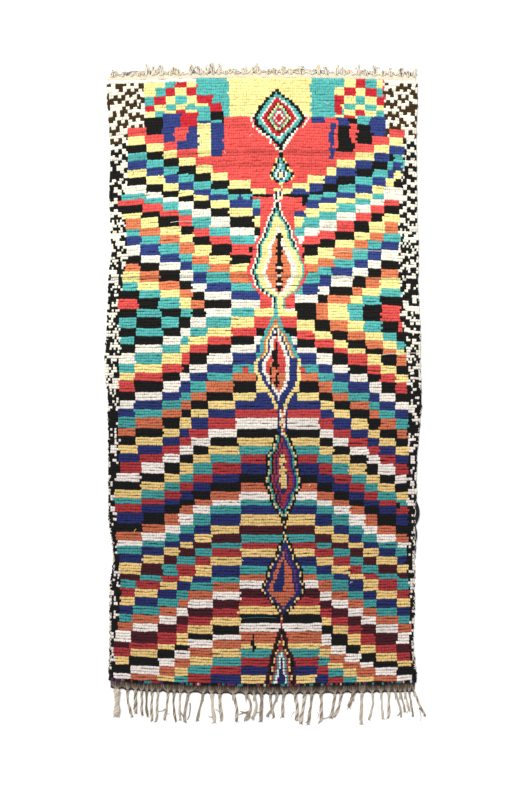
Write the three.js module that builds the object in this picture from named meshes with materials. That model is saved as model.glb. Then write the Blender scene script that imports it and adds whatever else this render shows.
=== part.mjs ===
// An azilal rug: a hand-knotted wool rug lying flat, with a strip of short curled locks above its
// knotted field and a band of twisted tassels below it. Millimetres. +X runs across the rug, +Y along
// it towards the heading, +Z is up, and the origin is the middle of its underside.
import * as THREE from 'three';

// The knotted field.
const HALF_WIDTH = 724;
const FIELD_LENGTH = 2861;
const KNOT_ROWS = 216;
const ROW_GROWTH = 0.026;
const CELLS_ACROSS = 6;
const RIM_WIDTH = 14;

// Heights above the floor.
const VALLEY_HEIGHT = 10;
const CREST_HEIGHT = 14.5;
const RIM_HEIGHT = 7;
const SWELL_HEIGHT = 1.4;
const SWELL_ACROSS = 310;
const SWELL_ALONG = 430;
const FRINGE_THICKNESS = 5;

// Between the field and what is sewn or woven on at its ends.
const GAP = 0.3;
const HEADING_WIDTH = 24;
const WARP_BAND_WIDTH = 40;
const STRIP_INSET = 4;

// How unevenly the rim's locks stand out, and the loose yarn that bulges from the right edge.
const RIM_SCALLOP = 6;
const YARN_LOOP = { down: 0.716, reach: 0.03, out: 22 };

// Gives each row of a table its columns' names.
function table(columns, rows) {
  return rows.map((row) => Object.fromEntries(columns.map((name, index) => [name, row[index]])));
}

// The long edges at stations down the field, from 0 at the heading to 1 at the warp band: how far each
// stands out past its straight line, and how far a row's ends drop below its middle.
const EDGES = table(['down', 'left', 'right', 'dropLeft', 'dropRight'], [
  [0.00, 9, 0, 16, 16],
  [0.10, -9, -5, 42, 28],
  [0.20, -5, -3, 36, 24],
  [0.27, -14, 5, 26, 22],
  [0.33, 0, 3, 14, 20],
  [0.42, 9, 14, 2, 14],
  [0.47, 19, 14, -1, 10],
  [0.53, 2, 18, -4, 6],
  [0.63, 0, -3, -8, 3],
  [0.72, 0, -9, -12, 0],
  [0.79, -23, -14, -17, -5],
  [0.86, -5, -14, -21, -9],
  [0.93, -5, -20, -24, -13],
  [1.00, -3, -5, -27, -16],
]);

// The locks above the heading from left to right: where each leaves the strip, how far it stands out,
// how far its tip leans to the right, and how thick it is.
const LOCKS = table(['root', 'length', 'lean', 'width'], [
  [-708, 36, 14, 20],
  [-662, 12, 3, 14],
  [-622, 13, 3, 13],
  [-584, 17, 4, 13],
  [-552, 58, 8, 8],
  [-520, 40, 14, 17],
  [-478, 44, -12, 16],
  [-436, 38, 14, 14],
  [-396, 34, -12, 20],
  [-343, 46, 8, 11],
  [-300, 42, -10, 13],
  [-268, 44, 4, 13],
  [-236, 62, -18, 10],
  [-208, 46, 4, 11],
  [-176, 16, -3, 13],
  [-128, 22, -6, 18],
  [-92, 34, 6, 16],
  [-54, 38, 10, 10],
  [-20, 55, -14, 17],
  [24, 20, 8, 14],
  [58, 28, -8, 16],
  [92, 40, 4, 12],
  [130, 31, -8, 16],
  [178, 40, 4, 22],
  [228, 27, 12, 15],
  [262, 48, -4, 14],
  [302, 34, -10, 15],
  [344, 42, 12, 15],
  [382, 36, -14, 9],
  [418, 14, 2, 14],
  [452, 50, -10, 11],
  [486, 28, -6, 17],
  [524, 44, 12, 16],
  [562, 30, 8, 13],
  [600, 38, -8, 17],
  [648, 48, 10, 20],
  [682, 30, -2, 11],
  [711, 40, 10, 13],
]);

// The tassels below the warp band from left to right: where the root, the middle and the tip of each
// lie, then its length and its thickness.
const TASSELS = table(['root', 'middle', 'tip', 'length', 'width'], [
  [-688, -687, -690, 127, 23],
  [-637, -634, -613, 128, 10],
  [-600, -601, -599, 108, 14],
  [-571, -571, -571, 113, 10],
  [-547, -549, -545, 118, 9],
  [-522, -525, -524, 140, 10],
  [-494, -499, -501, 140, 10],
  [-448, -453, -465, 130, 9],
  [-418, -421, -408, 137, 9],
  [-390, -393, -389, 130, 9],
  [-351, -365, -370, 137, 11],
  [-282, -296, -314, 128, 10],
  [-242, -237, -228, 137, 13],
  [-204, -201, -192, 127, 13],
  [-141, -125, -127, 127, 12],
  [-80, -58, -90, 123, 11],
  [-44, -32, -52, 116, 10],
  [-7, -8, -12, 128, 14],
  [35, 33, 17, 103, 10],
  [66, 57, 51, 107, 10],
  [98, 92, 94, 107, 12],
  [150, 160, 156, 125, 13],
  [196, 187, 175, 138, 13],
  [229, 222, 211, 142, 11],
  [272, 274, 271, 132, 13],
  [338, 330, 316, 115, 11],
  [367, 358, 334, 110, 11],
  [426, 413, 404, 66, 13],
  [465, 462, 461, 148, 13],
  [514, 515, 495, 127, 9],
  [555, 559, 562, 122, 9],
  [591, 592, 589, 122, 11],
  [622, 640, 652, 115, 9],
  [645, 658, 670, 95, 8],
  [667, 677, 688, 88, 8],
  [688, 697, 706, 115, 8],
  [711, 733, 761, 112, 10],
]);

// Thickness of a lock and of a tassel at shares of its length, against the width in its row. Both flare
// where the warp gathers into them; a lock ends in a curl and a tassel in a loose knot.
const LOCK_FORM = table(['along', 'thick'], [[0, 2.0], [0.25, 1.15], [0.6, 1.0], [0.85, 1.1], [1, 0.55]]);
const TASSEL_FORM = table(
  ['along', 'thick'],
  [[0, 2.4], [0.07, 1.5], [0.2, 0.9], [0.5, 0.9], [0.78, 1.15], [0.93, 1.0], [1, 0.5]],
);

// A fixed scatter between 0 and 1 for a whole number.
function scatter(index, series) {
  const wave = Math.sin(index * 12.9898 + series * 78.233) * 43758.5453;
  return wave - Math.floor(wave);
}

function eased(t) {
  return t * t * (3 - 2 * t);
}

// A column of the edge table at a share of the way down, eased from station to station.
function edgeAt(down, column) {
  const last = EDGES.length - 1;
  const next = Math.min(last, Math.max(1, EDGES.findIndex((station) => station.down >= down)));
  const from = EDGES[next - 1];
  const to = EDGES[next];
  return from[column] + (to[column] - from[column]) * eased((down - from.down) / (to.down - from.down));
}

// Rows lie a little closer together near the heading than near the warp band.
function rowDown(share) {
  return share * (1 - ROW_GROWTH + ROW_GROWTH * share);
}

function yarnLoop(down) {
  const near = Math.max(0, 1 - Math.abs(down - YARN_LOOP.down) / YARN_LOOP.reach);
  return YARN_LOOP.out * eased(near);
}

// A point of the field's plan: across runs from -1 at the left edge to 1 at the right edge.
function fieldPoint(across, down, scallop) {
  const left = HALF_WIDTH + edgeAt(down, 'left') + scallop.left;
  const right = HALF_WIDTH + edgeAt(down, 'right') + yarnLoop(down) + scallop.right;
  const x = across < 0 ? across * left : across * right;
  const drop = edgeAt(down, across < 0 ? 'dropLeft' : 'dropRight');
  return new THREE.Vector2(x, -down * FIELD_LENGTH - drop * across * across);
}

// Shares across the field for the grid's columns, with a narrow one along each rim.
function columnsAcross() {
  const rim = RIM_WIDTH / HALF_WIDTH;
  const inner = CELLS_ACROSS - 2;
  const shares = [-1];
  for (let cell = 0; cell <= inner; cell += 1) {
    shares.push((1 - rim) * (-1 + (2 * cell) / inner));
  }
  shares.push(1);
  return shares;
}

// Height of the pile: a rib for each row of knots, on slow swells, rolling down at the rims.
function pileHeight(across, point, crest) {
  if (Math.abs(across) === 1) {
    return RIM_HEIGHT;
  }
  const swell = Math.sin(point.x / SWELL_ACROSS + 1) * Math.cos(point.y / SWELL_ALONG);
  return (crest ? CREST_HEIGHT : VALLEY_HEIGHT) + SWELL_HEIGHT * swell;
}

// The grid of the field's top, station by station from the heading down, two stations to a row.
function fieldGrid() {
  const stations = KNOT_ROWS * 2;
  const shares = columnsAcross();
  const grid = [];
  for (let station = 0; station <= stations; station += 1) {
    const crest = station % 2 === 1;
    const down = rowDown(station / stations);
    const scallop = {
      left: crest ? RIM_SCALLOP * scatter(station, 1) : 0,
      right: crest ? RIM_SCALLOP * scatter(station, 2) : 0,
    };
    grid.push(shares.map((across) => {
      const point = fieldPoint(across, down, scallop);
      return new THREE.Vector3(point.x, point.y, pileHeight(across, point, crest));
    }));
  }
  return grid;
}

// The grid's edge as indices, anticlockwise seen from above from the heading's left corner.
function gridRing(stations, columns) {
  const ring = [];
  for (let station = 0; station < stations; station += 1) {
    ring.push(station * columns);
  }
  for (let column = 0; column < columns; column += 1) {
    ring.push(stations * columns + column);
  }
  for (let station = stations - 1; station > 0; station -= 1) {
    ring.push(station * columns + columns - 1);
  }
  for (let column = columns - 1; column > 0; column -= 1) {
    ring.push(column);
  }
  return ring;
}

// The knotted field: its ribbed top, a wall straight down from the top's edge, and a flat underside.
function knottedField() {
  const grid = fieldGrid();
  const stations = grid.length - 1;
  const columns = CELLS_ACROSS + 1;
  const points = grid.flat();
  const triangles = [];
  for (let station = 0; station < stations; station += 1) {
    for (let column = 0; column < CELLS_ACROSS; column += 1) {
      const corner = station * columns + column;
      const below = corner + columns;
      triangles.push(corner, below, below + 1);
      triangles.push(corner, below + 1, corner + 1);
    }
  }
  const ring = gridRing(stations, columns);
  const base = points.length;
  const outline = ring.map((index) => new THREE.Vector2(points[index].x, points[index].y));
  outline.forEach((point) => points.push(new THREE.Vector3(point.x, point.y, 0)));
  ring.forEach((top, place) => {
    const next = (place + 1) % ring.length;
    triangles.push(base + place, base + next, ring[next]);
    triangles.push(base + place, ring[next], top);
  });
  THREE.ShapeUtils.triangulateShape(outline, []).forEach(([a, b, c]) => {
    triangles.push(base + c, base + b, base + a);
  });
  const geometry = new THREE.BufferGeometry().setFromPoints(points);
  geometry.setIndex(triangles);
  geometry.computeVertexNormals();
  return geometry;
}

// The points where the field meets a strip, at its heading (down 0) or its warp end (down 1).
function fieldEnd(down) {
  const bare = { left: 0, right: 0 };
  return columnsAcross().map((across) => fieldPoint(across, down, bare));
}

// Height of a strip's far edge at x: the field's end moved out by the strip's width.
function stripEdge(end, x, offset) {
  const next = Math.max(1, end.findIndex((point) => point.x >= x));
  const from = end[next - 1];
  const to = end[next];
  return from.y + ((to.y - from.y) * (x - from.x)) / (to.x - from.x) + offset;
}

// Both sides of a strand, root to tip and back, on a smooth centre line through its three places.
// Outward is 1 for a lock, which stands up from the heading, and -1 for a tassel.
function strandOutline(strand, rootHeight, form, outward) {
  const centre = (t) => new THREE.Vector2(
    strand.root * (1 - t) * (1 - 2 * t) + strand.middle * 4 * t * (1 - t) + strand.tip * t * (2 * t - 1),
    rootHeight + outward * strand.length * t,
  );
  const step = 0.01;
  const near = [];
  const far = [];
  form.forEach(({ along, thick }) => {
    const place = centre(along);
    const slope = centre(along + step).sub(centre(along - step)).normalize();
    const half = (strand.width * thick) / 2;
    const level = along === 0;
    const sideways = level ? new THREE.Vector2(1, 0) : new THREE.Vector2(-slope.y, slope.x).multiplyScalar(-outward);
    near.push(place.clone().addScaledVector(sideways, -half));
    far.unshift(place.clone().addScaledVector(sideways, half));
  });
  return [...near, ...far];
}

// A flat comb of strands fused into their strip. The strip follows the end of the field with a small
// gap, and its strands run outward from it.
function comb(end, strands, form, stripWidth, outward) {
  const inner = end.map((point) => new THREE.Vector2(point.x, point.y + outward * GAP));
  const outer = [];
  const first = end[0].x + STRIP_INSET;
  const last = end[end.length - 1].x - STRIP_INSET;
  const reach = outward * stripWidth;
  outer.push(new THREE.Vector2(first, stripEdge(end, first, reach)));
  strands.forEach((strand) => {
    outer.push(...strandOutline(strand, stripEdge(end, strand.root, reach), form, outward));
  });
  outer.push(new THREE.Vector2(last, stripEdge(end, last, reach)));
  const shape = new THREE.Shape([...inner, ...outer.reverse()]);
  return new THREE.ExtrudeGeometry(shape, { depth: FRINGE_THICKNESS, bevelEnabled: false });
}

// A lock leans evenly, with a curl to one side at half its height.
function lockStrand({ root, length, lean, width }) {
  return { root, middle: root - lean / 3, tip: root + lean, length, width };
}

function piece(name, geometry, colour) {
  const material = new THREE.MeshStandardMaterial({ color: colour, roughness: 0.95, metalness: 0 });
  const mesh = new THREE.Mesh(geometry, material);
  mesh.name = name;
  return mesh;
}

const heading = comb(fieldEnd(0), LOCKS.map(lockStrand), LOCK_FORM, HEADING_WIDTH, 1);
const warpEnd = comb(fieldEnd(1), TASSELS, TASSEL_FORM, WARP_BAND_WIDTH, -1);

const rug = new THREE.Group();
rug.add(piece('rug_pile', knottedField(), 0xb8434a));
rug.add(piece('top_fringe', heading, 0xf0dfc4));
rug.add(piece('bottom_fringe', warpEnd, 0xa39484));

// The origin goes to the middle of the whole underside.
const middle = new THREE.Box3().setFromObject(rug).getCenter(new THREE.Vector3());
rug.position.set(-middle.x, -middle.y, 0);

export default rug;
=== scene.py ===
# %% [markdown]
# # A hand-knotted wool rug, dressed around its plain solids
#
# The frame holds three plain solids: the knotted field, the heading with its locks and the warp end with
# its tassels. They have the right size and place, and the rug's real surface is made here around them:
# every knot of the pile with its own dye, the woven ground under it, and each yarn of both fringes.
# Lengths are worked out in millimetres, from the middle of the rug's width and from its heading down,
# and turned into the frame's metres at the very end.

import bpy
import numpy as np
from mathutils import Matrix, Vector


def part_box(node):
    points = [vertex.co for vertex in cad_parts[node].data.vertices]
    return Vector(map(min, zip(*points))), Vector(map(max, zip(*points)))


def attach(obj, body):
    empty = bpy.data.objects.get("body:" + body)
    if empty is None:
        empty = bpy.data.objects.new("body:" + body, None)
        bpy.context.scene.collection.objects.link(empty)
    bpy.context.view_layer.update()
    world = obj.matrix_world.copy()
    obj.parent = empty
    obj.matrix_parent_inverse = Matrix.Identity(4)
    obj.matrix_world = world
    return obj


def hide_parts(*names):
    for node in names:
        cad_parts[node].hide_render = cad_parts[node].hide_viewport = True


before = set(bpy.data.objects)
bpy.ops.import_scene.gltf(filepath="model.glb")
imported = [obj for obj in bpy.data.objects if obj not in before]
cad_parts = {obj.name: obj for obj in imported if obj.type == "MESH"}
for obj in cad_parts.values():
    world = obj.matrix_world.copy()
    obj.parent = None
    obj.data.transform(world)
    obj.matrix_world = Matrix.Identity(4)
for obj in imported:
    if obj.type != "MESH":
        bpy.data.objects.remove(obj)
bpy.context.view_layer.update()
print("nodes", sorted(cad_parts))

# %% [markdown]
# ## The plan of the field
#
# A rug made on a simple loom is never quite a rectangle: its long edges wander as the weaver pulls them in,
# and its rows of knots sag or rise towards the edges. The solids were drawn from a short table of
# stations down the field, so the same table is used here. A row of knots is then a curve, and a knot
# is a place along it.

# %% Sizes and the edge table
MM = 0.001
HALF_WIDTH = 724.0
FIELD_LENGTH = 2861.0
KNOT_ROWS = 216
KNOTS_ACROSS = 161
ROW_GROWTH = 0.026
RIM_SCALLOP = 6.0
HEADING_WIDTH = 24.0
WARP_BAND_WIDTH = 40.0
EDGE_COLUMNS = ("down", "left", "right", "drop_left", "drop_right")
EDGES = np.array([
    (0.00, 9, 0, 16, 16),
    (0.10, -9, -5, 42, 28),
    (0.20, -5, -3, 36, 24),
    (0.27, -14, 5, 26, 22),
    (0.33, 0, 3, 14, 20),
    (0.42, 9, 14, 2, 14),
    (0.47, 19, 14, -1, 10),
    (0.53, 2, 18, -4, 6),
    (0.63, 0, -3, -8, 3),
    (0.72, 0, -9, -12, 0),
    (0.79, -23, -14, -17, -5),
    (0.86, -5, -14, -21, -9),
    (0.93, -5, -20, -24, -13),
    (1.00, -3, -5, -27, -16),
])


def eased(t):
    """A soft start and a soft stop: t squared times (3 - 2t)."""
    return t * t * (3 - 2 * t)


def edge_at(down, column):
    """The table's value at a share of the way down, eased from the station above to the one below."""
    stations = EDGES[:, 0]
    values = EDGES[:, EDGE_COLUMNS.index(column)]
    below = np.clip(np.searchsorted(stations, down), 1, len(stations) - 1)
    above = below - 1
    share = (down - stations[above]) / (stations[below] - stations[above])
    return values[above] + (values[below] - values[above]) * eased(share)


def row_down(share):
    """Rows lie a little closer together at the heading: share times (1 - growth + growth times share)."""
    return share * (1 - ROW_GROWTH + ROW_GROWTH * share)


def field_point(across, down):
    """Across the field from -1 to 1 and down it from 0 to 1 to x and y: the half width at that height
    times across, and the length times down, lowered by the row's drop times across squared."""
    half = HALF_WIDTH + np.where(across < 0, edge_at(down, "left"), edge_at(down, "right"))
    drop = np.where(across < 0, edge_at(down, "drop_left"), edge_at(down, "drop_right"))
    return across * half, -down * FIELD_LENGTH - drop * across**2


def scatter(index, series):
    """The solids' own fixed scatter from 0 to 1: the fraction left of a large sine."""
    wave = np.sin(index * 12.9898 + series * 78.233) * 43758.5453
    return wave - np.floor(wave)


# %% Where the rug lies in the frame
crest = np.arange(1, 2 * KNOT_ROWS, 2)
crest_down = row_down(crest / (2 * KNOT_ROWS))
left_rim = -(HALF_WIDTH + edge_at(crest_down, "left") + RIM_SCALLOP * scatter(crest, 1))
pile_low, pile_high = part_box("rug_pile")
SHIFT = np.array([pile_low.x / MM - left_rim.min(), pile_high.y / MM, 0.0])
print("shift in mm", SHIFT.round(2))

# %% [markdown]
# ## The camera, the floor and the light
#
# The rug was photographed flat, from straight above, on white. The camera hangs high over it, so that
# the perspective stays slight. Light comes from high behind the heading and to the left, as soft
# as from a large window: it leaves a thin shade below each row of pile, which draws the ribs.

# %% Camera


def put(name, data):
    """An object in the scene that shows the data: a mesh, a light or the camera."""
    thing = bpy.data.objects.new(name, data)
    bpy.context.scene.collection.objects.link(thing)
    return thing


PICTURE_WIDTH, PICTURE_HEIGHT = 528, 792
PIXEL = 4.7
MIDDLE_LINE_PX, HEADING_PX = 263.0, 77.6
CAMERA_HEIGHT = 8.0
SENSOR = 36.0
PILE_TOP = 0.014

aim_x = (PICTURE_WIDTH / 2 - MIDDLE_LINE_PX) * PIXEL
aim_y = (HEADING_PX - PICTURE_HEIGHT / 2) * PIXEL
camera_data = bpy.data.cameras.new("camera")
camera_data.sensor_width = SENSOR
camera_data.lens = SENSOR * (CAMERA_HEIGHT - PILE_TOP) / (PICTURE_HEIGHT * PIXEL * MM)
camera = put("camera", camera_data)
camera.location = ((aim_x + SHIFT[0]) * MM, (aim_y + SHIFT[1]) * MM, CAMERA_HEIGHT)
bpy.context.scene.camera = camera
print("lens", round(camera_data.lens, 1), "at", tuple(round(v, 3) for v in camera.location))

# %% Light
SUN_ENERGY, SUN_SPREAD, SUN_TILT = 2.6, 35, (-38, -20, 0)
SKY_COLOUR, SKY_STRENGTH = (1.0, 0.99, 0.97, 1), 0.75

sun_data = bpy.data.lights.new("window", "SUN")
sun_data.energy = SUN_ENERGY
sun_data.angle = np.radians(SUN_SPREAD)
sun = put("window", sun_data)
sun.rotation_euler = np.radians(SUN_TILT)

world = bpy.data.worlds.new("room")
world.use_nodes = True
sky = world.node_tree.nodes["Background"].inputs
sky["Color"].default_value = SKY_COLOUR
sky["Strength"].default_value = SKY_STRENGTH
bpy.context.scene.world = world
bpy.context.scene.view_settings.view_transform = "Standard"
print("sun", SUN_ENERGY, "sky", SKY_STRENGTH)

# %% [markdown]
# ## Putting arrays into meshes
#
# Every piece here is worked out as whole arrays of points and faces. One helper puts them into a mesh,
# with a colour for each face's corners or each point, and a map that gives every face a place of its
# own on a square. A second helper carries a ring of points along many paths at once, which makes all
# the yarns of a fringe in one go.

# %% Mesh helper


def linear(colour):
    """A screen colour from 0 to 255 as light: the usual curve with a power of 2.4."""
    share = np.asarray(colour, float) / 255
    return np.where(share <= 0.04045, share / 12.92, ((share + 0.055) / 1.055) ** 2.4)


def add_piece(name, points, faces, material, dye, bake, yarn=None, lit_share=None):
    """A mesh from points in rug millimetres and a list of face arrays, one array for each corner count.
    The dye has a row for each point, or else one for each corner of each face."""
    corners = np.concatenate([part.ravel() for part in faces])
    counts = np.concatenate([np.full(len(part), part.shape[1]) for part in faces])
    mesh = bpy.data.meshes.new(name)
    mesh.vertices.add(len(points))
    mesh.vertices.foreach_set("co", ((points + SHIFT) * MM).astype(np.float32).ravel())
    mesh.loops.add(len(corners))
    mesh.loops.foreach_set("vertex_index", corners.astype(np.int32))
    mesh.polygons.add(len(counts))
    mesh.polygons.foreach_set("loop_start", (np.cumsum(counts) - counts).astype(np.int32))
    mesh.update(calc_edges=True)
    corner_dye = dye if len(dye) == len(corners) else dye[corners]
    layer = mesh.attributes.new("dye", "FLOAT_COLOR", "CORNER")
    rgba = np.concatenate([corner_dye, np.ones((len(corners), 1))], axis=1)
    layer.data.foreach_set("color", rgba.astype(np.float32).ravel())
    if lit_share is not None:
        layer = mesh.attributes.new("lit_share", "FLOAT", "POINT")
        layer.data.foreach_set("value", lit_share.astype(np.float32))
    for map_name, places in (("OFBake", bake), ("yarn", yarn)):
        if places is not None:
            mesh.uv_layers.new(name=map_name).data.foreach_set("uv", places.astype(np.float32).ravel())
    mesh.polygons.foreach_set("use_smooth", np.ones(len(counts), bool))
    mesh.materials.append(material)
    piece = put(name, mesh)
    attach(piece, "root")
    print(name, len(points), "points", int((counts - 2).sum()), "triangles")
    return piece


# %% Yarn helpers


def yarn_tubes(paths, radii, sides):
    """Rings of points carried along many paths. paths is yarns by steps by 3, radii is yarns by steps.
    A ring's point is the path's point plus the radius times (cosine times side plus sine times up),
    where side is level and square to the path and up is square to both. Both ends are closed."""
    yarns, steps = radii.shape
    along = np.gradient(paths, axis=1)
    along /= np.maximum(np.linalg.norm(along, axis=2, keepdims=True), 1e-9)
    side = np.cross(along, (0.0, 0.0, 1.0))
    side /= np.maximum(np.linalg.norm(side, axis=2, keepdims=True), 1e-9)
    up = np.cross(side, along)
    turn = 2 * np.pi * np.arange(sides) / sides
    ring = np.cos(turn)[:, None] * side[:, :, None] + np.sin(turn)[:, None] * up[:, :, None]
    points = (paths[:, :, None] + radii[:, :, None, None] * ring).reshape(-1, 3)
    number = np.arange(yarns * steps * sides).reshape(yarns, steps, sides)
    beside = np.roll(number, -1, axis=2)
    walls = np.stack([number[:, :-1], number[:, 1:], beside[:, 1:], beside[:, :-1]], axis=-1)
    starts, ends = number[:, 0], number[:, -1, ::-1]
    return points, [walls.reshape(-1, 4), starts, ends]


def square_cells(count):
    """Cells that share a square: how many stand to a side, and each one's column and row."""
    cells = int(np.ceil(np.sqrt(count)))
    return cells, np.stack([np.arange(count) % cells, np.arange(count) // cells], axis=1)


def yarn_maps(yarns, steps, sides, length):
    """Two maps for yarn_tubes. On the first each yarn has its own cell of a square, its ends in the
    cell's margin; on the second, u is the turn around the yarn and v the millimetres along it."""
    cells, cell = square_cells(yarns)
    step, turn = np.meshgrid(np.arange(steps - 1), np.arange(sides), indexing="ij")
    u = np.stack([turn, turn, turn + 1, turn + 1], axis=-1) / sides
    v = np.stack([step, step + 1, step + 1, step], axis=-1) / (steps - 1)
    wall = np.stack([0.06 + 0.74 * u, 0.06 + 0.88 * v], axis=-1)
    walls = (cell[:, None, None, None] + wall[None]) / cells
    around = 2 * np.pi * np.arange(sides) / sides
    disc = 0.05 * np.stack([np.cos(around), np.sin(around)], axis=1)
    starts = (cell[:, None] + (0.91, 0.2) + disc) / cells
    ends = (cell[:, None] + (0.91, 0.7) + disc[::-1]) / cells
    bake = np.concatenate([part.reshape(-1, 2) for part in (walls, starts, ends)])
    mm = np.broadcast_to(length, (yarns,))[:, None, None, None] * v[None]
    twist = np.stack([np.broadcast_to(u[None], mm.shape), mm], axis=-1).reshape(-1, 2)
    yarn = np.concatenate([twist, np.zeros((2 * yarns * sides, 2))])
    return bake, yarn


def add_yarns(name, paths, radii, tones, sides, length, lowest=-np.inf):
    """A piece made of yarn_tubes. The tones spread over yarns by steps by sides by 3, the length is each
    yarn's millimetres, for its twist, and no point lies below lowest."""
    points, faces = yarn_tubes(paths, radii, sides)
    points[:, 2] = np.maximum(points[:, 2], lowest)
    dye = np.broadcast_to(np.clip(tones, 0, 1), radii.shape + (sides, 3)).reshape(-1, 3)
    bake, yarn = yarn_maps(*radii.shape, sides, length)
    return add_piece(name, points, faces, yarn_wool, dye, bake, yarn=yarn)


def drawn_tones(table, count, mean, spread):
    """A tone from the table for each yarn, drawn, and a little lighter or darker than in the table."""
    return table[draw.integers(0, len(table), count)] * draw.normal(mean, spread, (count, 1))


# %% [markdown]
# ## Wool
#
# Hand-spun wool is matt, slightly furry and never one even colour: fibres catch the light, and the dye
# takes a little more in one place than in another. The base colour comes from the mesh's own dye
# attribute, so each knot or yarn has its own, and small noise breaks it up. A little sheen gives the
# fur, and bump the fibres. Twisted yarn also shows its plies as slanting ridges, which
# follow the yarn's own map. The colour also holds painted shade: each tuft of pile darkens towards its
# root, and the grooves between plies and the hollows of a weave are a little darker.

# %% Shader helper


class Value:
    """One output socket. Sums and products of values and numbers add Math nodes."""

    def __init__(self, recipe, socket):
        self.recipe = recipe
        self.socket = socket

    def math(self, operation, *terms):
        return self.recipe.node("ShaderNodeMath", {"operation": operation}, dict(enumerate(terms)))

    def __add__(self, other):
        return self.math("ADD", self, other)

    def __sub__(self, other):
        return self.math("SUBTRACT", self, other)

    def __rsub__(self, other):
        return self.math("SUBTRACT", other, self)

    def __mul__(self, other):
        return self.math("MULTIPLY", self, other)

    __radd__ = __add__
    __rmul__ = __mul__


class Recipe:
    """A material's node tree and the one method that adds to it."""

    def __init__(self, name):
        self.material = bpy.data.materials.new(name)
        self.material.use_nodes = True
        self.tree = self.material.node_tree
        self.shader = self.tree.nodes["Principled BSDF"]

    def node(self, kind, settings, sockets, out=0):
        node = self.tree.nodes.new(kind)
        for key, value in settings.items():
            setattr(node, key, value)
        self.fill(node, sockets)
        return Value(self, node.outputs[out])

    def fill(self, node, sockets):
        for key, value in sockets.items():
            if isinstance(value, Value):
                self.tree.links.new(value.socket, node.inputs[key])
            else:
                node.inputs[key].default_value = value


# %% Wool materials
CLOUD_SCALE, BUMP_DEPTH = 38.0, 0.0012


def wool(name, fibre_scale, mottle, sheen, bump, twist=0.0, root_shade=0.0, weave=0.0):
    """Dye times (1 + mottle times noise), with painted shade that darkens the pile towards its roots;
    bump from fibres, from the plies' ridges where twist is set, and from a plain weave where weave is set.
    The plies' grooves and the weave's hollows also get a little painted shade."""
    recipe = Recipe(name)
    place = recipe.node("ShaderNodeTexCoord", {}, {}, out="Object")
    dye = recipe.node("ShaderNodeAttribute", {"attribute_name": "dye"}, {}, out="Color")
    fibre = recipe.node("ShaderNodeTexNoise", {}, {"Vector": place, "Scale": fibre_scale, "Detail": 3.0})
    cloud = recipe.node("ShaderNodeTexNoise", {}, {"Vector": place, "Scale": CLOUD_SCALE, "Detail": 2.0})
    tone = 1 + mottle * (fibre + cloud - 1)
    relief = fibre
    if root_shade:
        lit_share = recipe.node("ShaderNodeAttribute", {"attribute_name": "lit_share"}, {}, out="Fac")
        # painted shade: the pile darker towards each tuft's root, where its neighbours shade it
        tone = tone * (1 - root_shade + root_shade * lit_share)
    if twist:
        own = recipe.node("ShaderNodeUVMap", {"uv_map": "yarn"}, {})
        parts = recipe.node("ShaderNodeSeparateXYZ", {}, {0: own}, out="X")
        along = Value(recipe, parts.socket.node.outputs["Y"])
        slant = parts * (4 * np.pi) + along * twist
        ridge = slant.math("SINE", slant)
        # painted shade: the grooves between the plies a little darker than the ridges
        tone = tone * (0.93 + 0.07 * ridge)
        relief = relief + 0.5 * ridge
    if weave:
        axes = recipe.node("ShaderNodeSeparateXYZ", {}, {0: place}, out="X")
        depth = Value(recipe, axes.socket.node.outputs["Y"])
        over = axes.math("SINE", axes * weave)
        under = depth.math("SINE", depth * (weave * 1.3))
        pick = over * under
        # painted shade: the weave's hollows a little darker than its raised threads
        tone = tone * (0.95 + 0.05 * pick)
        relief = relief + pick
    colour = recipe.node("ShaderNodeVectorMath", {"operation": "SCALE"}, {0: dye, "Scale": tone})
    normal = recipe.node(
        "ShaderNodeBump", {}, {"Height": relief, "Strength": bump, "Distance": BUMP_DEPTH}, out="Normal")
    recipe.fill(recipe.shader, {
        "Base Color": colour,
        "Normal": normal,
        "Roughness": 0.95,
        "Specular IOR Level": 0.15,
        "Sheen Weight": sheen,
        "Sheen Roughness": 0.6,
    })
    return recipe.material


# The pile's colour carries painted shade towards its roots.
pile_wool = wool("pile_wool", fibre_scale=700.0, mottle=0.30, sheen=0.05, bump=0.5, root_shade=0.45)
back_wool = wool("back_wool", fibre_scale=500.0, mottle=0.25, sheen=0.05, bump=0.6, weave=620.0)
strip_wool = wool("strip_wool", fibre_scale=600.0, mottle=0.22, sheen=0.10, bump=0.7, weave=1500.0)
yarn_wool = wool("yarn_wool", fibre_scale=900.0, mottle=0.30, sheen=0.10, bump=0.6, twist=0.9)
print("materials", [m.name for m in bpy.data.materials])

# %% [markdown]
# ## The knots' chart: courses and bricks
#
# The weaver builds the pattern from flat bricks of one colour, two to four rows of knots high. Along
# each column of bricks the colours follow one long sequence, and each column out from the middle starts
# it one course later or earlier, so that the colours step down as chevrons: outwards above the waist,
# inwards below it. So two sequences and the columns' edges are all that the field needs.

# %% Knots, rows and courses
row_index = np.arange(KNOT_ROWS)
across = (-1 + 2 * (np.arange(KNOTS_ACROSS) + 0.5) / KNOTS_ACROSS)[None, :]
down = row_down((row_index + 0.5) / KNOT_ROWS)[:, None]
knot_x, knot_y = field_point(across, down)
knot_row = row_index[:, None]
row = knot_row + 0.5 + 0 * knot_x
column = np.arange(KNOTS_ACROSS)[None, :] + 0 * knot_row
KNOT = 9.1

COURSE_ROWS = (
    "333232" "333333332233433433433334333433433" "343333433323433233323333334233331"
)
FIRST_FULL_COURSE, WAIST_COURSE = 6, 28
course_of_row = np.repeat(np.arange(len(COURSE_ROWS)), [int(digit) for digit in COURSE_ROWS])
print("courses", len(COURSE_ROWS), "rows", len(course_of_row))

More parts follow.
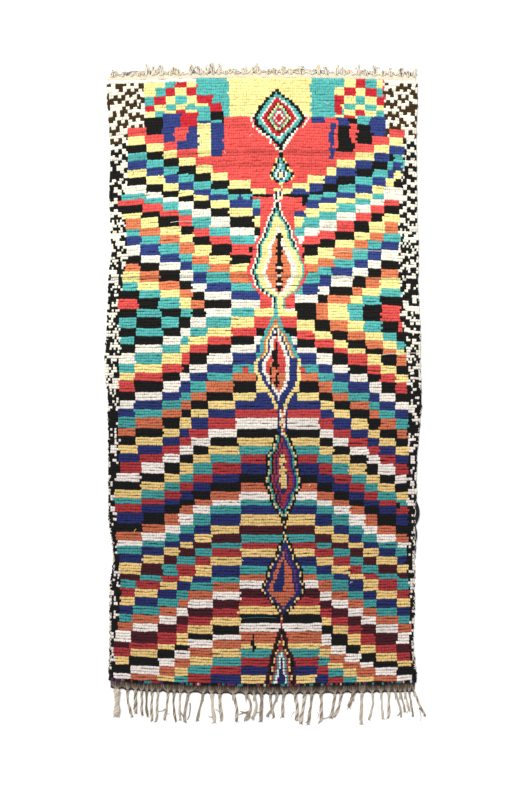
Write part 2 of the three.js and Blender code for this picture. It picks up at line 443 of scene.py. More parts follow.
# %% Colour sequences and the columns' edges
UPPER_LEFT = "RYKTBYKWTRKYOTBWKOYTKR"
UPPER_RIGHT = "RYBKTBYTWRKYOTBWKOYTKR"
LOWER_COMMON = "YRKWBTOKYBRWKYTRBKOWTBYMTRYBTOWMRYKWOYTRBY"
LOWER_LEFT = "KTKTKWT" + LOWER_COMMON
LOWER_RIGHT = "TRKTYOK" + LOWER_COMMON

LEFT_COLUMNS = np.array([  # course, and the columns' edges in millimetres, from the outermost in
    (7, 634, 550, 470, 404, 315, 241, 163, 66),
    (12, 641, 549, 468, 400, 320, 244, 163, 66),
    (15, 682, 556, 470, 398, 328, 245, 163, 52),
    (18, 650, 577, 487, 392, 328, 250, 156, 44),
    (22, 640, 573, 487, 392, 328, 250, 152, 40),
    (25, 665, 585, 488, 390, 333, 265, 152, 40),
    (26, 674, 589, 488, 390, 334, 270, 152, -40),
    (27, 682, 593, 488, 389, 336, 275, 152, -40),
    (28, 678, 596, 483, 390, 339, 271, 151, 38),
    (31, 670, 602, 473, 391, 344, 263, 150, 38),
    (37, 679, 603, 473, 387, 341, 264, 138, 34),
    (38, 679, 603, 473, 387, 341, 262, 136, -40),
    (42, 674, 597, 468, 389, 335, 252, 116, -40),
    (45, 678, 574, 465, 390, 330, 245, 108, -40),
    (47, 701, 574, 463, 390, 328, 244, 107, -40),
    (53, 690, 568, 457, 392, 320, 241, 106, -40),
    (57, 672, 572, 470, 398, 322, 241, 108, -40),
    (60, 668, 604, 488, 404, 350, 240, 110, -40),
    (64, 684, 614, 494, 408, 355, 238, 112, -40),
    (66, 698, 628, 495, 412, 346, 232, 104, -40),
    (70, 700, 624, 498, 416, 352, 250, 108, -40),
])
RIGHT_COLUMNS = np.array([
    (9, 667, 592, 516, 432, 348, 289, 213, 132),
    (13, 645, 573, 511, 440, 349, 283, 218, 130),
    (18, 639, 567, 505, 431, 344, 265, 196, 110),
    (23, 640, 559, 491, 424, 328, 263, 192, 110),
    (25, 650, 550, 471, 417, 316, 262, 190, 110),
    (26, 647, 553, 472, 410, 310, 256, 150, 110),
    (27, 644, 557, 474, 404, 305, 250, 150, 110),
    (28, 644, 644, 557, 474, 404, 305, 248, 160),
    (30, 666, 630, 565, 482, 397, 325, 242, 160),
    (37, 684, 623, 548, 498, 407, 331, 266, 162),
    (38, 685, 623, 548, 500, 409, 332, 269, -40),
    (53, 680, 628, 540, 469, 403, 326, 243, -40),
    (58, 682, 629, 540, 473, 404, 326, 254, -40),
    (64, 690, 630, 534, 462, 396, 322, 278, -40),
    (67, 694, 630, 528, 455, 384, 316, 264, -40),
    (70, 697, 631, 523, 443, 371, 309, 248, -40),
])
OPEN = 0
BORDER = 1
EDGE_WANDER = 3.0
ROW_WANDER = 0.35 * EDGE_WANDER
# from which row, up to which, inmost column, rows ahead
LEFT_LEADS = ((47, 80, 3, 1), (176, 198, 5, -1), (200, 201, 5, 1), (200, 201, 3, 0), (201, 216, 3, -1))
RIGHT_LEADS = (
    (0, 41, 6, -1), (41, 75, 4, -1), (75, 99, 6, -1), (180, 203, 5, -1), (203, 210, 4, -2), (210, 213, 4, -1))
print("stations", len(LEFT_COLUMNS), len(RIGHT_COLUMNS))

# %% Bricks


def codes(letters):
    """A string as an array with each letter's code."""
    return np.frombuffer(letters.encode(), np.uint8)


def letters_at(place, letters):
    """The letter at each place of a string. The first and last letters also stand past its ends."""
    return codes(letters)[np.clip(place, 0, len(letters) - 1)]


def brick_letters(upper, lower, columns, leads):
    """The letter of each knot on one side. The column c is how many edges lie outside the knot, less
    one. Above the waist the sequence's place is course - 6 - c, and below it course - 28 + c. In some
    rows the outer columns run one row ahead of the rest, or one behind, as their rows sag."""
    last_column = columns.shape[1] - 2
    lead = np.zeros((KNOT_ROWS, last_column + 1), int)
    for first, last, inmost, rows in leads:
        lead[first:last, :inmost + 1] = rows
    outer_courses = course_of_row[np.clip(row_index + lead[:, 0], 0, KNOT_ROWS - 1)]
    edges = np.stack([np.interp(outer_courses, columns[:, 0], edge) for edge in columns[:, 1:].T])
    edges = edges + draw.normal(0, EDGE_WANDER, (len(edges), len(COURSE_ROWS)))[:, outer_courses]
    edges = edges + draw.normal(0, ROW_WANDER, edges.shape)
    c = (np.abs(knot_x)[None] < edges[:, :, None]).sum(0) - 1
    led = knot_row + lead[knot_row, np.clip(c, 0, last_column)]
    courses = course_of_row[np.clip(led, 0, KNOT_ROWS - 1)]
    above = courses < WAIST_COURSE
    place = np.where(above, courses - FIRST_FULL_COURSE - c, courses - WAIST_COURSE + c)
    letters = np.where(above, letters_at(place, upper), letters_at(place, lower))
    letters = np.where(above & (place < 0), OPEN, letters)
    return np.where(c < 0, BORDER, letters)


draw = np.random.default_rng(7)
on_left = brick_letters(UPPER_LEFT, LOWER_LEFT, LEFT_COLUMNS, LEFT_LEADS)
on_right = brick_letters(UPPER_RIGHT, LOWER_RIGHT, RIGHT_COLUMNS, RIGHT_LEADS)
chart = np.where(knot_x < 0, on_left, on_right)
print("knots left open", int((chart == OPEN).sum()))

# %% [markdown]
# ## The chart's top panel
#
# Above the first chevrons lies a panel: a plain yellow ground and a red one in the middle, teal blocks
# beside them, and at each side a stepped pyramid of small blocks over a few upright bars and hooks.
# A pyramid is one rule: a block's colour depends only on how many steps it lies inside the outline.
# The bars are a simple arrangement of blocks of the same scale and colours.

# %% Top panel
PYRAMID = "YTCYTYCY"
PYRAMID_LEVELS = np.array([0, 0, 0, 1, 1, 1, 2, 2, 2, 3, 3, 4, 4, 5, 5, 5])
PYRAMID_BLOCK = 49.0
PYRAMID_ROWS = 14
PANEL_ROWS, PANEL_LEFT, PANEL_RIGHT = 16, -553, 569
PYRAMIDS = ((-385, -556, -312), (458, 335, 566))  # centre, left and right edge
BLOCKS = (
    ("T", -312, -160, 0, 13),
    ("Y", -160, 226, 0, 13),
    ("T", 226, 395, 0, 13),
    ("pyramids", 0, 0, 0, 13),
    ("W", -556, -312, 0, 0),
    ("C", -312, -240, 6, 8),
    ("C", -250, -195, 9, 11),
    ("Y", -312, -250, 9, 9),
    ("C", 335, 368, 9, 12),
    ("T", -304, -246, 10, 16),
    ("K", -249, -188, 12, 15),
    ("K", -556, -466, 13, 18),
    ("B", -466, -383, 12, 16),
    ("B", -470, -414, 17, 21),
    ("C", -383, -305, 12, 16),
    ("B", -353, -305, 17, 24),
    ("B", -406, -353, 22, 24),
    ("Y", -305, -244, 16, 27),
    ("B", -244, -185, 16, 27),
    ("T", -244, -185, 15, 15),
    ("B", -305, -244, 15, 15),
    ("B", 226, 291, 14, 15),
    ("B", 348, 400, 14, 16),
    ("K", 400, 444, 14, 15),
    ("T", 444, 503, 13, 15),
    ("B", 503, 572, 13, 19),
    ("B", 314, 336, 16, 32),
    ("K", 352, 409, 17, 22),
    ("K", 352, 430, 23, 25),
    ("K", 446, 503, 16, 18),
    ("K", 436, 516, 19, 22),
)


def pyramid_letters(centre, low, high, letters):
    """Blocks step down one column per level away from the centre. A block's letter is taken by
    level minus how many columns off the centre it is. Off the pyramid's inner side the two letters
    outside it are the other way round."""
    step = np.round((knot_x - centre) / PYRAMID_BLOCK).astype(int)
    level = PYRAMID_LEVELS[np.clip(knot_row, 0, len(PYRAMID_LEVELS) - 1)]
    place = np.clip(level - np.abs(step) + 2, 0, len(PYRAMID) - 1)
    place = np.where((place < 2) & (step * centre < 0), 1 - place, place)
    inside = (knot_x >= low) & (knot_x < high) & (knot_row < PYRAMID_ROWS)
    return np.where(inside, codes(PYRAMID)[place], letters)


def ragged(x):
    """How far a block's upright edge strays in each row. Blocks that share an edge share its wander."""
    return x + np.random.default_rng(abs(x)).normal(0, EDGE_WANDER, (KNOT_ROWS, 1))


def with_blocks(letters, blocks):
    """Blocks laid over the letters in turn: a letter, its left and right edge, its first and last row."""
    for letter, low, high, first, last in blocks:
        if letter == "pyramids":
            for centre, inner, outer in PYRAMIDS:
                letters = pyramid_letters(centre, inner, outer, letters)
            continue
        inside = (knot_x >= ragged(low)) & (knot_x < ragged(high))
        inside &= (knot_row >= first) & (knot_row <= last)
        letters = np.where(inside, ord(letter), letters)
    return letters


panel = np.where((knot_x > ragged(PANEL_LEFT)) & (knot_x < ragged(PANEL_RIGHT)), ord("R"), BORDER)
panel = with_blocks(panel, BLOCKS)
in_panel = (knot_row < PANEL_ROWS) & (knot_x > PANEL_LEFT + 1) & (knot_x < PANEL_RIGHT - 1)
in_panel |= chart == OPEN
chart = np.where(in_panel, panel, chart)
print("panel knots", int(in_panel.sum()))

# %% [markdown]
# ## The chart's spine of lozenges
#
# Down the middle runs a chain of seven lozenges, each a nest of outlines one to three knots wide. A
# lozenge is a half width that grows from its top to its widest row and shrinks to its foot, and its
# colours are counted in knots from that outline inwards, as a weaver counts them along a row.

# %% Lozenges
LOZENGE_COLUMNS = (
    "spine_top", "spine_foot", "top", "widest", "foot", "half", "power_above", "power_below")
LOZENGES = (  # measures, and the rings' letters on the left and on the right
    ((68, 78, 3.4, 14.3, 25.6, 131, 1.05, 1.05), "KKTTWCCNYTCWC", "KKTTWCCNYTCWC"),
    ((84, 88, 27.3, 34.8, 38.8, 61, 1.0, 1.4), "YKTWBY", "YKTTWBY"),
    ((66, 72, 43.3, 70.0, 80.4, 124, 1.3, 2.4), "WKTYYYWWO", "TYYYWWWO"),
    ((55, 88, 84.0, 105.5, 121.5, 114, 1.4, 1.15), "TTOYBWWRR", "TTOYBWWRR"),
    ((88, 98, 124.5, 146.4, 161.0, 86, 2.5, 1.0), "KYTKRBRBY", "KYTBPRRBY"),
    ((108, 94, 162.8, 182.0, 191.8, 105, 1.35, 1.4), "KYBBOOBB", "KYBBPBOO"),
    ((88, 84, 194.5, 216.5, 226.0, 73, 1.8, 1.0), "MKYRTWBB", "MKYRTWBB"),
)
LOWER_RINGS = (  # lozenge, first row that has them, and letters on the left and on the right
    (3, 101, "YYBBWWRRO", "YYBBBBWWRRR"),
    (3, 106, "YYBBWWO", "YYBBBBWWO"),
    (5, 183, "KYBBOOO", "KYBBBOO"),
)
OUTER_DOTS, NECKED = 0, 2
DOTTED_RINGS = ((1, 0), (4, 1), (5, 1), (6, 2))
NECK_HALF, NECK_FOOT = 34.0, 83.0
ONE_SIDED_ABOVE = 62
SPINE_SWAY, OUTLINE_SWAY = 2.4, 3.6
CHAIN_CORE = 10
CHAINS = (  # from and to which row, middle, reach, letters, and the letter beside the core
    (25.0, 28.6, 82, 10, "KWWK", "."),
    (38.2, 40.6, 82, 9, "YYR", "."),
    (40.6, 43.6, 72, 24, "WKWBWKYW", "."),
    (83.0, 87.4, 58, 6, "T", "."),
    (118.5, 128.0, 92, 24, "YWYRW", "B"),
    (159.5, 163.6, 100, 9, "KYK", "."),
    (191.0, 195.5, 88, 6, "YRR", "."),
)


def half_width(measures):
    """The half width at each row: the widest half times one minus the share of the way to the top or
    foot, raised to that side's power. Less than nothing outside the lozenge."""
    upper = row < measures["widest"]
    reach = np.where(upper, measures["widest"] - measures["top"], measures["foot"] - measures["widest"])
    power = np.where(upper, measures["power_above"], measures["power_below"])
    return measures["half"] * (1 - (np.abs(row - measures["widest"]) / reach) ** power)


def lozenge_shape(number):
    """Each knot's distance from the lozenge's wavering middle line, its row's half width, and how many
    knots it lies inside the outline."""
    measures = dict(zip(LOZENGE_COLUMNS, LOZENGES[number][0]))
    share = np.clip((row - measures["top"]) / (measures["foot"] - measures["top"]), 0, 1)
    spine = measures["spine_top"] + (measures["spine_foot"] - measures["spine_top"]) * share
    offset = knot_x - spine - SPINE_SWAY * np.sin(row / 2.1 + measures["widest"])
    half = half_width(measures)
    half = half + OUTLINE_SWAY * np.sin(row / 1.3 + 2 * measures["top"]) * (half > 12)
    if number == NECKED:
        neck = (row > measures["widest"]) & (row < NECK_FOOT)
        half = np.where(neck, np.maximum(half, NECK_HALF), half)
    return offset, half, np.floor((half - np.abs(offset)) / KNOT).astype(int)


shapes = [lozenge_shape(number) for number in range(len(LOZENGES))]
print("knots in each lozenge", [int((depth >= 0).sum()) for _, _, depth in shapes])

# %% The red ground around the third lozenge, and the line above it
ENVELOPE_ROWS, ENVELOPE_MARGIN, LEAST_HALF = (42, 83), 14, 66
SPINE_LEFT, SPINE_RIGHT = 66, 68
INMOST_LEFT, INMOST_RIGHT = -5, 150
HEAD_LEFT, HEAD_LEFT_TO_ROW = -50, 44
HEAD_RIGHT, HEAD_RIGHT_TO_ROW = 205, 48
LINE_LEFT, LINE_RIGHT = -47, 209
full_half = np.maximum(shapes[NECKED][1], LEAST_HALF)
left_limit = np.minimum(INMOST_LEFT, SPINE_LEFT - full_half - ENVELOPE_MARGIN)
left_limit = np.where(row < HEAD_LEFT_TO_ROW, HEAD_LEFT, left_limit)
right_limit = np.maximum(INMOST_RIGHT, SPINE_RIGHT + full_half + ENVELOPE_MARGIN)
right_limit = np.where(row < HEAD_RIGHT_TO_ROW, HEAD_RIGHT, right_limit)
envelope = (row > ENVELOPE_ROWS[0]) & (row < ENVELOPE_ROWS[1])
envelope &= (knot_x > left_limit) & (knot_x < right_limit)
chart = np.where(envelope, ord("R"), chart)
line = (knot_row == ENVELOPE_ROWS[0]) & (knot_x > LINE_LEFT) & (knot_x < LINE_RIGHT)
chart = np.where(line, ord("K"), chart)
print("knots of red ground", int(envelope.sum()))

# %% Lozenges and chains into the chart


def ring_letters(number, left, right):
    """The letter of the ring that each knot of a lozenge lies in, or the last ring's inside it."""
    offset, _, depth = shapes[number]
    return np.where(offset < 0, letters_at(depth, left), letters_at(depth, right))


for number, (measures, left, right) in enumerate(LOZENGES):
    depth = shapes[number][2]
    letters = ring_letters(number, left, right)
    if number == NECKED:
        letters = np.where(row < ONE_SIDED_ABOVE, letters_at(depth, left), letters)
    for lozenge, from_row, lower_left, lower_right in LOWER_RINGS:
        if lozenge == number:
            letters = np.where(row > from_row, ring_letters(number, lower_left, lower_right), letters)
    chart = np.where(depth >= 0, letters, chart)
    if number == OUTER_DOTS:
        widest, foot = measures[3:5]
        dots = (depth < 0) & (depth >= -2) & (row > widest - 1) & (row < foot + 2)
        chart = np.where(dots & ((knot_row + column) % 3 > 0), ord("W"), chart)

for first, last, x, reach, letters, sides in CHAINS:
    off = np.abs(knot_x - x)
    inside = (row > first) & (row < last) & (off < reach)
    link = codes(letters)[(2 * knot_row + column) % len(letters)]
    if sides != ".":
        link = np.where(off < CHAIN_CORE, link, ord(sides))
    chart = np.where(inside, link, chart)
print("lozenges", len(LOZENGES), "chains", len(CHAINS))

# %% Dotted outlines, feathers and stitches
FEATHER_X, FEATHER_ROWS = 78.0, (56, 77)
STEM_HALF, BARB_REACH, BARB_STEP, WHITE_BELOW = 7, 12, 9, 66
feather = (row > FEATHER_ROWS[0]) & (row < FEATHER_ROWS[1])
off = np.abs(knot_x - FEATHER_X)
stem = feather & (off < STEM_HALF)
barb = feather & (off < BARB_REACH + BARB_STEP * (knot_row % 2)) & (knot_row % 3 < 2)
chart = np.where(stem | barb, ord("K"), chart)
chart = np.where(stem & (row > WHITE_BELOW) & (knot_row % 3 == 2), ord("W"), chart)

for number, dotted_ring in DOTTED_RINGS:
    dotted = (shapes[number][2] == dotted_ring) & (knot_row % 3 == 1)
    chart = np.where(dotted, ord("K"), chart)

STITCHES = (
    ("K", 58, 68, 92, 97), ("K", 42, 68, 98, 103), ("K", 30, 40, 104, 111), ("K", 58, 68, 104, 111),
    ("B", 132, 209, 40, 41), ("R", 16, 52, 39, 41),
    ("W", 567, 655, 38, 42), ("T", 616, 660, 26, 28), ("B", 616, 652, 29, 31), ("Y", 616, 650, 32, 34),
    ("K", 616, 655, 35, 37), ("T", 588, 616, 29, 31), ("B", 588, 616, 32, 34), ("Y", 588, 616, 35, 37),
    ("R", -98, -74, 104, 105), ("R", 176, 196, 104, 105), ("K", 187, 209, 43, 45), ("K", -50, -41, 198, 203),
    ("K", -60, -50, 200, 201), ("K", -41, -32, 202, 202), ("B", -115, -97, 42, 44), ("K", -62, -45, 61, 62),
    ("Y", 81, 105, 135, 146), ("K", 624, 640, 152, 153),
)
chart = with_blocks(chart, STITCHES)
print("feather knots", int((stem | barb).sum()), "stitches", len(STITCHES))

# %% [markdown]
# ## The chart's borders
#
# Both long edges are checked in dark and cream, but by hand and without counting: checks lean, run
# together and change size. A checkerboard of small cells, shifted by a seeded amount in each column and
# flipped here and there, has the same look. Near the top the dark is a brown, lower down black. The
# very last row of knots is worked in scraps of every colour.

# %% Borders
CHECK_COLUMNS, CHECK_ROWS = 2, 2
CALM_ROWS, BROWN_ROWS = 48, 21
DARK_BELOW, MORE_DARK, FLIPPED = 112, 0.42, 0.07
sway = 1.2 * np.sin(row / 6.5 + 1.3 * np.sin(row / 15)) + draw.normal(0, 0.15, (KNOT_ROWS, 1))
cell_x = np.floor((column + sway) / CHECK_COLUMNS).astype(int)
unrest = np.where(row < CALM_ROWS, 0.05, 0.55)
sag = 0.9 * np.sin(2.3 * cell_x + row / 17) + unrest * draw.normal(0, 1, row.shape)
cell_y = np.floor((knot_row + sag) / CHECK_ROWS).astype(int)
flips = draw.random(knot_x.shape)[cell_y % KNOT_ROWS, cell_x % KNOTS_ACROSS] < FLIPPED
dark = ((cell_x + cell_y) % 2 == 0) ^ flips
dark |= (row > DARK_BELOW) & (draw.random((KNOT_ROWS // 3 + 1, KNOTS_ACROSS))[row_index // 3] < MORE_DARK)
dark &= knot_row > 0
dark_letter = np.where(row < BROWN_ROWS, ord("N"), ord("K"))
chart = np.where(chart == BORDER, np.where(dark, dark_letter, ord("W")), chart)

LAST_ROW = "KPTRWKBTRPKT"
last_row = codes(LAST_ROW)[(column // 3 + draw.integers(0, 2, column.shape)) % len(LAST_ROW)]
last_row = np.where(draw.random(column.shape) < 0.35, ord("K"), last_row)
chart = np.where(knot_row == KNOT_ROWS - 1, last_row, chart)
used, counts = np.unique(chart, return_counts=True)
print("knots by letter", {chr(code): int(count) for code, count in zip(used, counts)})

# %% [markdown]
# ## Dyes
#
# The upper half of the rug is bright and the lower half deeper and duller, so each dye has two
# shades that blend down the field; the difference is partly the dyes' own and partly painted light,
# brighter towards the heading and darker towards the warp end. Wool from another dye lot shows as a
# line across a plain ground, and no two knots took the dye quite alike.

# %% Dyes of the knots
# Each pair holds painted light as well as dye: the upper shade lit brighter, the lower darker.
DYES = {  # the shade in the upper half, and in the lower
    "R": ((236, 90, 84), (149, 45, 49)),
    "C": ((206, 44, 56), (140, 32, 44)),
    "Y": ((255, 241, 162), (206, 176, 115)),
    "T": ((91, 187, 181), (57, 134, 134)),
    "B": ((52, 67, 130), (28, 36, 87)),
    "K": ((23, 22, 21), (11, 10, 13)),
    "W": ((251, 247, 229), (213, 204, 198)),
    "O": ((229, 133, 90), (173, 92, 66)),
    "M": ((62, 18, 26), (60, 16, 26)),
    "N": ((66, 47, 22), (60, 42, 22)),
    "P": ((96, 48, 110), (92, 42, 104)),
}
DYE_AND_LIGHT_FADE_FROM, DYE_AND_LIGHT_FADE_OVER = 70.0, 75.0
PATCHES, PATCH_COLUMNS = (80, 12), 14
# row, and the share of its light that is left
ABRASH_ROWS = ((17, 0.84), (26, 0.76), (27, 0.84), (31, 0.80), (53, 0.80), (71, 0.66), (215, 0.62))

shade_table = np.zeros((2, 256, 3))
for letter, shades in DYES.items():
    shade_table[:, ord(letter)] = [linear(shade) for shade in shades]
# The blend down the field is partly the dyes' change and partly painted light: brighter towards the heading,
# darker lower down.
dye_and_light_fade = eased(np.clip((row - DYE_AND_LIGHT_FADE_FROM) / DYE_AND_LIGHT_FADE_OVER, 0, 1))[..., None]
knot_dye = shade_table[0][chart] * (1 - dye_and_light_fade) + shade_table[1][chart] * dye_and_light_fade
tone = draw.normal(1, 0.05, knot_x.shape) * draw.normal(1, 0.03, (KNOT_ROWS, 1))
patch = draw.normal(1, 0.035, PATCHES)[course_of_row[:, None], column // PATCH_COLUMNS]
for abrash_row, darker in ABRASH_ROWS:
    tone = np.where(knot_row == abrash_row, tone * darker, tone)
knot_dye = np.clip(knot_dye * (tone * patch)[..., None], 0, 1)
print("mean dye", knot_dye.mean((0, 1)).round(3))

# %% [markdown]
# ## The pile
#
# Each knot ends in a short tuft, nine millimetres wide, and the rows of tufts stand thirteen apart, so
# that a dark line shows between them: partly the weft's own colour, partly painted shade. Combed down
# for years, the tufts lean towards the warp end. A particle system would make them look alike and could
# not carry the chart, so each tuft is a closed block of three rings of four corners, which narrows above
# its shoulder to a ridge along the row, and all of them are worked out at once. Each ring also carries
# painted shade, darkest at the root. Near the heading the rows were beaten so tightly that they nearly
# hide the weft, and low down they show more of it. Seven lengthwise strips keep each mesh a handy size.

# %% Tufts
# The last column is painted shade: how light each ring's colour is, darkest at the root.
TUFT_RINGS = (  # height, width, length, share of the lean, place on the map, and how light it is
    (2.6, 1.00, 0.84, 0.0, 0.46, 0.0),
    (10.8, 1.16, 1.00, 0.55, 0.32, 0.72),
    (14.4, 1.08, 0.58, 1.0, 0.18, 1.0),
)
LEAN_DOWN = 2.6
NEIGHBOURS = 5
BEATEN_ROWS = (0, 45, 70, 120, 205)
BEATEN = (1.30, 1.25, 1.07, 1.04, 0.94)
RIM_REACH = 16.0
RIM_DROP = 6.0
STRIPS = 7
SWELL_HEIGHT, SWELL_ACROSS, SWELL_ALONG = 1.4, 310.0, 430.0
CORNERS = np.array([(-1, -1), (1, -1), (1, 1), (-1, 1)])


def along_row(noise):
    """Each value's sum with its four neighbours in the row, over the root of 5, so that a row's tufts
    stray together and the spread stays the same."""
    return sum(np.roll(noise, -step, axis=1) for step in range(NEIGHBOURS)) / NEIGHBOURS**0.5


half_here = np.abs(field_point(np.where(across < 0, -1, 1) + 0 * down, down)[0])
rim = np.clip((half_here - np.abs(knot_x)) / RIM_REACH, 0, 1)
swell = SWELL_HEIGHT * np.sin(knot_x / SWELL_ACROSS + 1) * np.cos(knot_y / SWELL_ALONG)
pitch_x = 2 * half_here / KNOTS_ACROSS
pitch_y = np.abs(np.gradient(knot_y, axis=0))
pitch_y = pitch_y * np.interp(row, BEATEN_ROWS, BEATEN)
spin = draw.normal(0, 0.10, knot_x.shape)
lean_x = draw.normal(0, 0.9, knot_x.shape) + np.sign(knot_x) * (1 - rim) * draw.uniform(2, 7, knot_x.shape)
lean_y = along_row(draw.normal(0, 1.4, knot_x.shape)) - LEAN_DOWN
tall = draw.normal(1, 0.05, knot_x.shape)
place_x = knot_x + draw.normal(0, 0.5, knot_x.shape)
place_y = knot_y + along_row(draw.normal(0, 1.1, knot_x.shape))
print("tufts", knot_x.size, "pitch in mm", pitch_x.mean().round(2), pitch_y.mean().round(2))


def tuft_points(part):
    """Rings of four corners: half the pitch times the ring's share, turned by the knot's spin, moved by
    the lean times how far up the ring is."""
    rings = []
    for z, wide, long, leaning, _, _ in TUFT_RINGS:
        corner_x = CORNERS[:, 0] * 0.5 * wide * pitch_x[:, part, None]
        corner_y = CORNERS[:, 1] * 0.5 * long * pitch_y[:, part, None]
        turn = spin[:, part, None]
        x = place_x[:, part, None] + corner_x * np.cos(turn) - corner_y * np.sin(turn)
        y = place_y[:, part, None] + corner_x * np.sin(turn) + corner_y * np.cos(turn)
        x = x + leaning * lean_x[:, part, None]
        y = y + leaning * lean_y[:, part, None]
        top = z * tall[:, part] + leaning * (swell[:, part] - RIM_DROP * (1 - eased(rim[:, part])))
        rings.append(np.stack([x, y, np.broadcast_to(top[..., None], x.shape)], axis=-1))
    return np.stack(rings, axis=2)


def tuft_faces(tufts):
    """Two bands of four walls, a top and a foot for each tuft, as fours of point numbers."""
    first = np.array([0, 1, 2, 3])
    following = np.roll(first, -1)
    band = np.stack([first, following, following + 4, first + 4], axis=1)
    one = np.concatenate([band, band + 4, [[8, 9, 10, 11]], [[3, 2, 1, 0]]])
    return (one[None] + 12 * np.arange(tufts)[:, None, None]).reshape(-1, 4)


def tuft_map(tufts):
    """Each tuft has a cell of its own, its rings as nested squares and its foot in the cell's corner."""
    ring_places = np.concatenate([0.5 + spread * CORNERS for _, _, _, _, spread, _ in TUFT_RINGS])
    faces = tuft_faces(1)
    one = ring_places[faces]
    one[-1] = 0.975 + 0.012 * CORNERS[::-1]
    cells, cell = square_cells(tufts)
    return ((cell[:, None, None] + one[None]) / cells).reshape(-1, 2)


# %% The seven strips of pile
for number in range(STRIPS):
    part = np.arange(KNOTS_ACROSS * number // STRIPS, KNOTS_ACROSS * (number + 1) // STRIPS)
    tufts = KNOT_ROWS * len(part)
    dye = np.repeat(knot_dye[:, part].reshape(-1, 3), 12, axis=0)
    lit_share = np.tile(np.repeat([ring[5] for ring in TUFT_RINGS], 4), tufts)
    add_piece(
        f"pile_strip_{number + 1}", tuft_points(part).reshape(-1, 3), [tuft_faces(tufts)], pile_wool,
        dye, tuft_map(tufts), lit_share=lit_share)

# %% [markdown]
# ## The ground
#
# Under the pile lies the woven ground: dark weft beaten down between the rows of knots, and on the
# back the knots themselves, flat and bright, where the whole chart can be read again. It is one closed
# sheet, a few millimetres thick. Its underside is a grid with a cell for each knot, and its top, which
# only shows as the line between two rows, is one long face for each row. The top's dark brown is partly
# the weft's own colour and partly painted shade between the rows.

# %% Ground sheet
GROUND_THICKNESS = 3.4
GROUND_INSET = 0.996
# The ground's top and edges: dark brown, partly the weft's own colour and partly painted shade between the
# rows of pile.
WEFT_AND_SHADE = (74, 54, 40)

grid_across = GROUND_INSET * np.linspace(-1, 1, KNOTS_ACROSS + 1)[None, :]
grid_down = row_down(np.linspace(0, 1, KNOT_ROWS + 1))[:, None]
grid_x, grid_y = field_point(grid_across, grid_down)
flat = np.stack([grid_x, grid_y, 0 * grid_x], axis=-1)
under = np.arange(flat[..., 0].size).reshape(flat.shape[:2])
rim_numbers = np.concatenate([under[0], under[1:-1, 0], under[1:-1, -1], under[-1]])
lifted = flat.reshape(-1, 3)[rim_numbers] + (0, 0, GROUND_THICKNESS)
over = np.full(under.size, -1)
over[rim_numbers] = under.size + np.arange(len(rim_numbers))
over = over.reshape(under.shape)

cells = np.stack([under[:-1, :-1], under[:-1, 1:], under[1:, 1:], under[1:, :-1]], axis=-1).reshape(-1, 4)
rows_over = np.stack([over[1:-2, 0], over[2:-1, 0], over[2:-1, -1], over[1:-2, -1]], axis=-1)
first_over = np.concatenate([over[0, ::-1], over[1, [0, -1]]])[None]
last_over = np.concatenate([over[-1], over[-2, [-1, 0]]])[None]


def wall(low, high):
    """Upright faces between two lines of points, facing to the right of the way that they run."""
    return np.stack([low[:-1], low[1:], high[1:], high[:-1]], axis=-1)


walls = np.concatenate([
    wall(under[:, 0], over[:, 0]), wall(under[-1], over[-1]),
    wall(under[::-1, -1], over[::-1, -1]), wall(under[0, ::-1], over[0, ::-1]),
])
ground_faces = [cells, rows_over, walls, first_over, last_over]
weft_and_shade_corners = sum(part.size for part in ground_faces[1:])
ground_dye = np.concatenate([
    np.repeat(knot_dye.reshape(-1, 3), 4, axis=0), np.tile(linear(WEFT_AND_SHADE), (weft_and_shade_corners, 1))])

ground_points = np.concatenate([flat.reshape(-1, 3), lifted])
MAP_SIZE = (2 * (HALF_WIDTH + 30), FIELD_LENGTH + 60)
MAP_ORIGIN = (HALF_WIDTH + 30, FIELD_LENGTH + 50)
HALF_MAP, RIGHT_HALF_AT = (0.47, 1), (0.50, 0)
share = np.clip((ground_points[:, :2] + MAP_ORIGIN) / MAP_SIZE, 0, 1)
left_half = share[np.concatenate([rows_over.ravel(), first_over.ravel(), last_over.ravel()])] * HALF_MAP
right_half = share[cells.ravel()] * HALF_MAP + RIGHT_HALF_AT
wall_v = np.arange(len(walls))[:, None] / len(walls) + np.array([0, 0.9, 0.9, 0])[None] / len(walls)
wall_u = np.tile(np.array([0.98, 0.98, 0.995, 0.995]), (len(walls), 1))
ground_map = np.concatenate([
    right_half, left_half[:rows_over.size], np.stack([wall_u, wall_v], axis=-1).reshape(-1, 2),
    left_half[rows_over.size:]])
ground = add_piece(
    "woven_ground", ground_points, ground_faces, back_wool, ground_dye, ground_map)
ground.data.polygons.foreach_set("use_smooth", np.zeros(len(ground.data.polygons), bool))
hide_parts("rug_pile")

# %% [markdown]
# ## The heading and its locks
#
# Above the first row of knots the rug starts with a narrow plain-woven strip of undyed cream wool. The
# warp ends that stand out of it were cut short long ago and have curled up into locks and loops. The
# strip is a flattened tube along the field's edge, and each lock is a few yarns that
# share a root: some curl over at the tip, others run out and come back as a loop.

# %% Strip helper
STRIP_SIDES, STRIP_STEPS = 12, 140


def field_end(down, x):
    """The field's end at x: a line through the row's own points."""
    line_x, line_y = field_point(np.linspace(-1, 1, 121), np.full(121, down))
    return np.interp(x, line_x, line_y)


